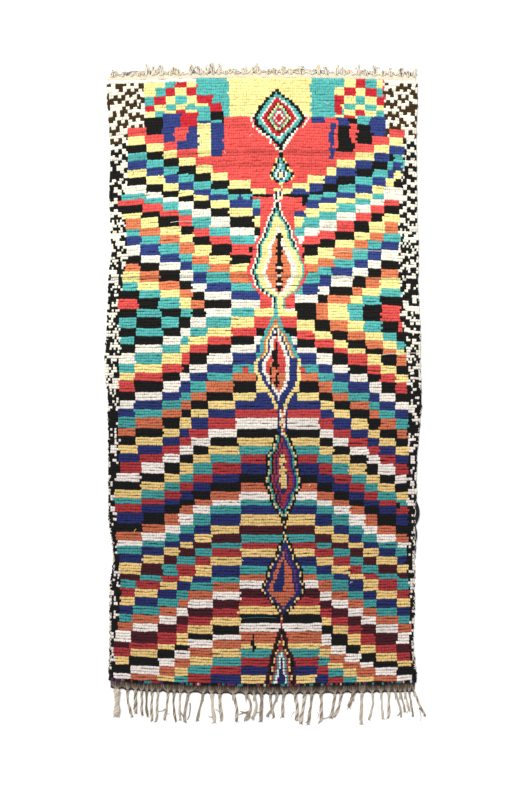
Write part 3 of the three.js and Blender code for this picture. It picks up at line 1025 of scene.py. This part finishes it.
def strip(name, colour, down, width, outward, thickness):
    """A flat strip along the field's end: its section is a rounded bar, a ring whose cosine and sine
    are raised to powers below one, and it is carried along the end's line."""
    end_x = field_point(np.array([-1.0, 1.0]), np.array([down, down]))[0]
    x = np.linspace(end_x[0] + 3, end_x[1] - 3, STRIP_STEPS)
    base = field_end(down, x)
    angle = 2 * np.pi * (np.arange(STRIP_SIDES) + 0.5) / STRIP_SIDES
    bulge = np.sign(np.cos(angle)) * np.abs(np.cos(angle)) ** 0.35
    rise = np.sign(np.sin(angle)) * np.abs(np.sin(angle)) ** 0.8
    middle = base + outward * (width / 2 + 0.3)
    wave = 0.8 * np.sin(x / 37.0) + 0.5 * np.sin(x / 11.0 + 1)
    half = width / 2 + 0.5 * wave
    y = middle[:, None] + half[:, None] * bulge[None]
    z = thickness / 2 * (1.02 + rise[None]) + 0 * y
    points = np.stack([np.broadcast_to(x[:, None], y.shape), y, z], axis=-1)
    number = np.arange(points[..., 0].size).reshape(STRIP_STEPS, STRIP_SIDES)
    beside = np.roll(number, -1, axis=1)
    walls = np.stack([number[:-1], beside[:-1], beside[1:], number[1:]], axis=-1).reshape(-1, 4)
    caps = [number[:1, ::-1], number[-1:]]
    turn = np.arange(STRIP_SIDES)
    v = np.stack([turn, turn + 1, turn + 1, turn], axis=-1) / STRIP_SIDES
    u = (np.arange(STRIP_STEPS - 1)[:, None, None] + np.array([0, 0, 1, 1])) / STRIP_STEPS
    places = np.stack([0.02 + 0.9 * u + 0 * v, 0.02 + 0.9 * v + 0 * u], axis=-1).reshape(-1, 2)
    disc = 0.02 * np.stack([np.cos(angle), np.sin(angle)], axis=1) + (0.96, 0.5)
    bake = np.concatenate([places, disc[::-1], disc + (0, 0.2)])
    tones = draw.normal(1, 0.03, (STRIP_STEPS, 1, 1)) * (linear(colour) + 0 * points)
    dye = np.clip(tones, 0, 1).reshape(-1, 3)
    return add_piece(name, points.reshape(-1, 3), [walls] + caps, strip_wool, dye, bake)


CREAM = (255, 243, 218)
heading = strip(
    "heading_strip", CREAM, down=0.0, width=HEADING_WIDTH, outward=1, thickness=4.6)
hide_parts("top_fringe")

# %% The table of locks
LOCKS = np.array([  # x of the root, length, lean, width
    (-708, 36, 14, 20), (-662, 12, 3, 14), (-622, 13, 3, 13), (-584, 17, 4, 13), (-552, 58, 8, 8),
    (-520, 40, 14, 17), (-478, 44, -12, 16), (-436, 38, 14, 14), (-396, 34, -12, 20),
    (-343, 46, 8, 11), (-300, 42, -10, 13), (-268, 44, 4, 13), (-236, 62, -18, 10),
    (-208, 46, 4, 11), (-176, 16, -3, 13), (-128, 22, -6, 18), (-92, 34, 6, 16), (-54, 38, 10, 10),
    (-20, 55, -14, 17), (24, 20, 8, 14), (58, 28, -8, 16), (92, 40, 4, 12), (130, 31, -8, 16),
    (178, 40, 4, 22), (228, 27, 12, 15), (262, 48, -4, 14), (302, 34, -10, 15), (344, 42, 12, 15),
    (382, 36, -14, 9), (418, 14, 2, 14), (452, 50, -10, 11), (486, 28, -6, 17), (524, 44, 12, 16),
    (562, 30, 8, 13), (600, 38, -8, 17), (648, 48, 10, 20), (682, 30, -2, 11), (711, 40, 10, 13),
], float)
print("locks", len(LOCKS))

# %% Locks
LOCK_YARNS = 4
LOCK_STEPS = 18
LOCK_TONES = ((252, 234, 204), (255, 246, 228), (104, 78, 52), (252, 238, 212), (238, 214, 174))
TANGLES = 2
# Painted shade on the two level sides of each lock's yarn, which draws a dark outline around them.
SHADED_SIDES = np.array([0.30, 0.9, 1, 0.30, 1, 0.9])[:, None]


def lock_paths():
    """Each yarn goes out by its length times a quarter or half sine of t, sideways by its lean
    times t plus a curl, and rises in a low hump; a loop's two ends are both at the root."""
    root, length, lean, width = [np.repeat(LOCKS[:, k], LOCK_YARNS)[:, None] for k in range(4)]
    count = len(root)
    member = np.tile(np.arange(LOCK_YARNS), len(LOCKS))[:, None]
    t = np.linspace(0, 1, LOCK_STEPS)[None]
    loop = draw.random((count, 1)) < 0.5
    wild = draw.random((count, 1))
    reach = length * draw.uniform(0.55, 1.02, (count, 1))
    rise = np.where(loop, np.sin(np.pi * 0.92 * t), np.sin(np.pi * (0.5 + 0.14 * wild) * t))
    curl = width * draw.uniform(0.35, 0.9, (count, 1)) * np.sin(2 * np.pi * (wild + (0.6 + wild) * t)) * t
    back = width * draw.uniform(-0.9, 0.9, (count, 1)) * t
    start = root + (member - (LOCK_YARNS - 1) / 2) * width / LOCK_YARNS
    x = start + lean * t * draw.uniform(0.5, 1.3, (count, 1)) + np.where(loop, back, curl)
    y = field_end(0.0, start) + HEADING_WIDTH - 6 + (reach + 6) * rise
    z = 3.0 + 4.5 * np.sin(np.pi * t) * wild + 0.8 * member
    return np.stack([x, y, z], axis=-1), member[:, 0]


def tangle_paths():
    """Yarns that wander from one lock's root to the next in a low arch of one or two humps."""
    start = np.repeat(LOCKS[:-1, 0], TANGLES)[:, None]
    end = np.repeat(LOCKS[1:, 0], TANGLES)[:, None]
    t = np.linspace(0, 1, LOCK_STEPS)[None]
    tall = draw.uniform(5, 24, start.shape)
    humps = draw.choice([1.0, 1.5, 2.0, 2.5], start.shape)
    x = start + (end - start) * t + draw.uniform(3, 9, start.shape) * np.sin(2 * np.pi * (t + tall))
    y = field_end(0.0, start) + HEADING_WIDTH - 3 + tall * np.abs(np.sin(np.pi * humps * t))
    z = 3.5 + 2 * np.sin(np.pi * t) + 0 * y
    return np.stack([x, y, z], axis=-1), draw.choice([1, 2, 3, 4], len(start))


paths, member = [np.concatenate(pair) for pair in zip(lock_paths(), tangle_paths())]
thick = np.where(member == 2, 0.45, 1.0)[:, None] * draw.uniform(2.4, 4.0, (len(paths), 1))
thick = thick * (1 - 0.35 * np.linspace(0, 1, LOCK_STEPS)[None])
tones = linear(LOCK_TONES)[member] * draw.normal(1, 0.06, (len(paths), 1))
# painted shade along the yarns' sides
tones = np.clip(tones, 0, 1)[:, None, None] * SHADED_SIDES
locks = add_yarns("heading_locks", paths, thick, tones, sides=6, length=45.0)

# %% [markdown]
# ## The warp end
#
# Below the last row of knots the bare warp shows as a band of grey-brown threads, which then gather in
# bunches and run out into twisted and knotted tassels. So the band isn't a strip here: it is every
# thread of it, straight over a thin dark weft and then drawn in to the nearest tassel's root. A dark cord
# twined along the band's lower edge holds them.

# %% The table of tassels
TASSELS = np.array([  # x of the root, of the middle and of the tip, length, width
    (-688, -687, -690, 127, 23), (-637, -634, -613, 128, 10), (-600, -601, -599, 108, 14),
    (-571, -571, -571, 113, 10), (-547, -549, -545, 118, 9), (-522, -525, -524, 140, 10),
    (-494, -499, -501, 140, 10), (-448, -453, -465, 130, 9), (-418, -421, -408, 137, 9),
    (-390, -393, -389, 130, 9), (-351, -365, -370, 137, 11), (-282, -296, -314, 128, 10),
    (-242, -237, -228, 137, 13), (-204, -201, -192, 127, 13), (-141, -125, -127, 127, 12),
    (-80, -58, -90, 123, 11), (-44, -32, -52, 116, 10), (-7, -8, -12, 128, 14),
    (35, 38, 52, 107, 10), (66, 50, 17, 103, 10), (98, 92, 94, 107, 12), (150, 160, 156, 125, 13),
    (196, 187, 175, 138, 13), (229, 222, 211, 142, 11), (272, 274, 271, 132, 13),
    (338, 330, 316, 115, 11), (367, 358, 334, 110, 11), (426, 413, 404, 66, 13),
    (465, 462, 461, 148, 13), (514, 515, 495, 127, 9), (555, 559, 562, 122, 9),
    (591, 592, 589, 122, 11), (622, 640, 652, 115, 9), (645, 658, 670, 95, 8),
    (667, 677, 688, 88, 8), (688, 697, 706, 115, 8), (711, 733, 761, 112, 10),
], float)
# share of the way out, and share of the width there
TASSEL_FORM = np.array([(0, 1.3), (0.07, 1.15), (0.2, 0.9), (0.5, 0.9), (0.78, 1.15), (0.93, 1.0), (1, 0.5)])
root, middle, tip, length, width = TASSELS.T
print("tassels", len(TASSELS))

# %% Backing of the warp band
BAND_DARK = (96, 78, 62)
backing = strip(
    "warp_backing", BAND_DARK, down=1.0, width=WARP_BAND_WIDTH - 6, outward=-1, thickness=2.0)
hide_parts("bottom_fringe")

# %% Tassels
PLIES = 3
TASSEL_STEPS = 26


def tassel_line(t, strand):
    """The centre line: a smooth curve through root, middle and tip, run out by the length times t."""
    x = (root[strand] * (1 - t) * (1 - 2 * t) + middle[strand] * 4 * t * (1 - t)
         + tip[strand] * t * (2 * t - 1))
    y = field_end(1.0, root[strand]) - WARP_BAND_WIDTH - length[strand] * t
    return x, y


def tassel_paths():
    """Each ply winds around the centre line at about a quarter of the tassel's thickness."""
    strand = np.repeat(np.arange(len(TASSELS)), PLIES)[:, None]
    ply = np.tile(np.arange(PLIES), len(TASSELS))[:, None]
    t = np.linspace(0, 1, TASSEL_STEPS)[None]
    x, y = tassel_line(t, strand)
    thick = width[strand] * np.interp(t, TASSEL_FORM[:, 0], TASSEL_FORM[:, 1])
    thick = thick * (1 + 0.10 * np.sin(9 * t + 1.7 * strand))
    angle = 2 * np.pi * (length[strand] * t / 46 + ply / PLIES) + strand
    x = x + 1.6 * np.sin(t * 11 + strand) * t + 0.30 * thick * np.cos(angle)
    z = 0.42 * thick + 0.2 * thick * np.sin(angle)
    return np.stack([x, y + 0 * x, z], axis=-1), 0.31 * thick


TASSEL_TONES = linear([(178, 166, 152), (150, 138, 124), (196, 184, 170), (122, 108, 94)])
FLOOR_GAP = 0.1
paths, radii = tassel_paths()
tones = drawn_tones(TASSEL_TONES, len(paths), mean=1, spread=0.07)[:, None, None]
tassels = add_yarns("tassels", paths, radii, tones, sides=6, length=120.0, lowest=FLOOR_GAP)

# %% Frayed tips
FRAYS = 6
FRAY_STEPS = 7
strand = np.repeat(np.arange(len(TASSELS)), FRAYS)[:, None]
t = np.linspace(0, 1, FRAY_STEPS)[None]
tip_x, tip_y = tassel_line(0.93 + 0 * t, strand)
fan = draw.uniform(-1, 1, strand.shape)
reach = draw.uniform(6, 20, strand.shape)
x = tip_x + fan * width[strand] * 0.3 + fan * (4 + 6 * t) * t + 1.5 * np.sin(5 * t + strand) * t
y = tip_y - reach * t
z = 1.2 + 1.5 * (1 - t) + 0 * x
paths = np.stack([x, y, z], axis=-1)
tones = drawn_tones(TASSEL_TONES, len(strand), mean=0.95, spread=0.08)[:, None, None]
radii = 1.1 - 0.5 * t + 0 * x
frays = add_yarns("tassel_frays", paths, radii, tones, sides=4, length=15.0, lowest=FLOOR_GAP)

# %% Forks, loops and a hook
BRANCHES = np.array([  # x and y of the start and of the end, bend, thickness
    (-459, -2967, -494, -2980, 5, 1.8), (-457, -2994, -439, -2992, 3, 1.6),
    (-224, -2970, -204, -2990, 4, 1.6), (-204, -2990, -197, -3024, 4, 2.2),
    (-237, -3007, -259, -2999, 4, 1.5), (-59, -2975, -108, -2980, 6, 2.6),
    (-73, -2990, -113, -2997, -6, 2.4), (-54, -3015, -19, -2984, 8, 2.4),
    (-60, -3000, -82, -3024, 5, 2.2), (149, -2981, 134, -3009, -5, 1.3),
    (276, -3014, 317, -2999, -5, 2.6), (256, -2983, 251, -3019, 7, 0.9),
    (212, -3020, 200, -3034, 3, 2.4), (646, -2983, 631, -3001, 3, 2.4),
    (735, -2965, 764, -3004, 4, 4.0), (738, -2980, 741, -3026, 3, 1.6),
    (-344, -2940, -356, -3020, 6, 2.4), (-392, -2980, -372, -3028, 5, 2.2),
])
BRANCH_STEPS = 12
t = np.linspace(0, 1, BRANCH_STEPS)[None]
start_x, start_y, end_x, end_y, bend, thick = BRANCHES.T[:, :, None]
run = np.hypot(end_x - start_x, end_y - start_y)
out = bend * np.sin(np.pi * t) + 1.2 * np.sin(8 * t + start_x) * t
x = start_x + (end_x - start_x) * t - (end_y - start_y) / run * out
y = start_y + (end_y - start_y) * t + (end_x - start_x) / run * out
z = 5.5 - 2.0 * t + 0 * x
paths = np.stack([x, y, z], axis=-1)
tones = drawn_tones(TASSEL_TONES, len(BRANCHES), mean=0.9, spread=0.06)[:, None, None]
radii = thick * (1.1 - 0.45 * t)
forks = add_yarns("tassel_forks", paths, radii, tones, sides=6, length=run[:, 0])

# %% Warp threads
THREADS = 330
THREAD_STEPS = 11
band_ends = field_point(np.array([-1.0, 1.0]), np.array([1.0, 1.0]))[0]
thread_x = np.linspace(band_ends[0] + 4, band_ends[1] - 4, THREADS)
nearest = np.abs(thread_x[:, None] - root[None]).argmin(1)
t = np.linspace(0, 1, THREAD_STEPS)[None]
GATHER_FROM, GATHER_OVER = 0.20, 0.56
gather = eased(np.clip((t - GATHER_FROM) / GATHER_OVER, 0, 1))
run = draw.uniform(62, 82, (THREADS, 1))
goal = root[nearest][:, None] + draw.normal(0, 1.6, (THREADS, 1))
x = thread_x[:, None] + (goal - thread_x[:, None]) * (0.06 * t + 0.94 * gather)
x = x + draw.normal(0, 0.4, x.shape)
y = field_end(1.0, thread_x)[:, None] + 4 - run * t
z = 3.0 + 1.2 * np.sin(np.pi * t) + draw.uniform(-0.5, 0.5, (THREADS, 1))
thick = draw.uniform(0.9, 1.7, (THREADS, 1)) + 0 * x
paths = np.stack([x, y, z + 0 * x], axis=-1)
BAND_TONES = linear([(122, 106, 90), (100, 84, 70), (146, 132, 116), (80, 66, 54), (58, 47, 42)])
FOOT_TONE = linear((194, 180, 164))
lightening = 0.9 * eased(np.clip((t[0] - 0.22) / 0.45, 0, 1))[:, None, None]
tones = drawn_tones(BAND_TONES, THREADS, mean=1, spread=0.08)[:, None, None]
tones = tones * (1 - lightening) + FOOT_TONE * lightening
threads = add_yarns("warp_threads", paths, thick, tones, sides=5, length=65.0)

# %% Twined cord along the band
CORD_STEPS = 900
CORD_DARK = (40, 34, 44)
x = np.linspace(band_ends[0] + 5, band_ends[1] - 5, CORD_STEPS)
between = np.abs(x[:, None] - root[None]).min(1)
cords = []
for phase in (0, np.pi):
    y = field_end(1.0, x) - WARP_BAND_WIDTH - 2 + np.minimum(between, 20) * 0.5
    y = y + 1.6 * np.sin(x / 3.2 + phase)
    cords.append(np.stack([x, y, 4.2 + 1.2 * np.cos(x / 3.2 + phase)], axis=-1))
paths = np.stack(cords)
radii = np.full((2, CORD_STEPS), 2.5)
twine = add_yarns("band_twine", paths, radii, linear(CORD_DARK), sides=5, length=1440.0)

# %% [markdown]
# ## Loose yarns
#
# The binding of both edges is worn: loops of its cream and black yarn stand out, and on the right one
# has come loose in a thick black arch. Short bits of other wool are caught in the pile. They are
# small, but they are what tells a used rug from a drawing of one.

# %% Loops of the binding
ARCHES = np.array([  # side, first and last share of the way down, reach, thickness
    (1, 0.690, 0.740, 18, 3.8), (1, 0.694, 0.736, 12, 3.8), (1, 0.700, 0.728, 6, 3.4),
    (1, 0.730, 0.776, 9, 3.4), (1, 0.758, 0.792, 8, 2.0), (1, 0.706, 0.722, 4, 2.4),
])
LOOPS = 150
LOOPS_FROM = 0.25
LOOSE_STEPS = 12
t = np.linspace(0, 1, LOOSE_STEPS)
hump = np.sin(np.pi * t)
loop_top = LOOPS_FROM + (0.985 - LOOPS_FROM) * np.sqrt(draw.random(LOOPS))
loops = np.stack([
    draw.choice([-1, 1], LOOPS), loop_top, loop_top + draw.uniform(0.004, 0.011, LOOPS),
    draw.uniform(1.0, 6.0, LOOPS), draw.uniform(1.3, 2.4, LOOPS)], axis=1)
side, first, last, out, thick = np.concatenate([ARCHES, loops]).T[:, :, None]
edge_x, edge_y = field_point(side + 0 * t, first + (last - first) * t)
arch_paths = np.stack([edge_x + side * ((out + 6) * hump - 6), edge_y, 6 + 4 * hump + 0 * edge_x], axis=-1)
BLACK, CREAM_WORN = (24, 22, 24), (232, 222, 206)
loop_tones = np.where(draw.random((LOOPS, 1)) < 0.62, CREAM_WORN, BLACK)
arch_tones = np.concatenate([[BLACK] * 5, [CREAM_WORN], loop_tones])
print("loops", len(arch_paths))

# %% Bits caught in the pile
BITS = np.array([  # x, row, length, angle
    (-55, 21, 20, 0.6), (-178, 27, 12, 2.1), (-402, 89, 14, 1.0), (165, 15, 16, 0.3), (300, 9, 22, 2.8),
    (-380, 52.3, 110, 0.04), (442, 63.0, 230, 0.03), (640, 99.5, 165, 0.05), (-240, 196, 10, 0.4),
    (330, 128, 16, 1.9), (-520, 130, 18, 2.5), (220, 146, 12, 0.9), (30, 101, 10, 1.4),
    (-330, 60, 16, 0.2), (470, 70, 14, 1.7), (-95, 172, 12, 2.2), (415, 180, 12, 0.5),
    (-600, 162, 22, 1.2), (-610, 176, 20, 2.4), (-20, 192.4, 170, 0.02),
])
BIT_TONES = [(250, 244, 232)] * 17 + [(240, 200, 110)] * 2 + [(44, 110, 112)]
x, at_row, long, angle = BITS.T[:, :, None]
along = (t - 0.5) * long
bend = 0.25 * np.minimum(long, 18) * hump
y = -row_down(at_row / KNOT_ROWS) * FIELD_LENGTH
bit_paths = np.stack([
    x + along * np.cos(angle) - bend * np.sin(angle),
    y + along * np.sin(angle) + bend * np.cos(angle),
    15.2 + 0.8 * hump + 0 * along], axis=-1)
paths = np.concatenate([arch_paths, bit_paths])
thick = np.concatenate([thick, np.full((len(BITS), 1), 1.1)]) + 0 * t
tones = linear(np.concatenate([arch_tones, BIT_TONES]))[:, None, None]
bits = add_yarns("loose_yarns", paths, thick, tones, sides=6, length=30.0)

# %% [markdown]
# ## The floor
#
# The rug lies flat on a plain pale floor.

# %% Floor
FLOOR_REACH, FLOOR_LEVEL = 30.0, -0.0006
floor_mesh = bpy.data.meshes.new("floor")
floor_mesh.from_pydata([(x, y, FLOOR_LEVEL) for x, y in FLOOR_REACH * CORNERS], [], [(0, 1, 2, 3)])
floor = put("floor", floor_mesh)
floor_recipe = Recipe("floor_paint")
floor_recipe.fill(floor_recipe.shader, {"Base Color": (0.93, 0.93, 0.92, 1), "Roughness": 0.8})
floor_mesh.materials.append(floor_recipe.material)
print("floor at", FLOOR_LEVEL)
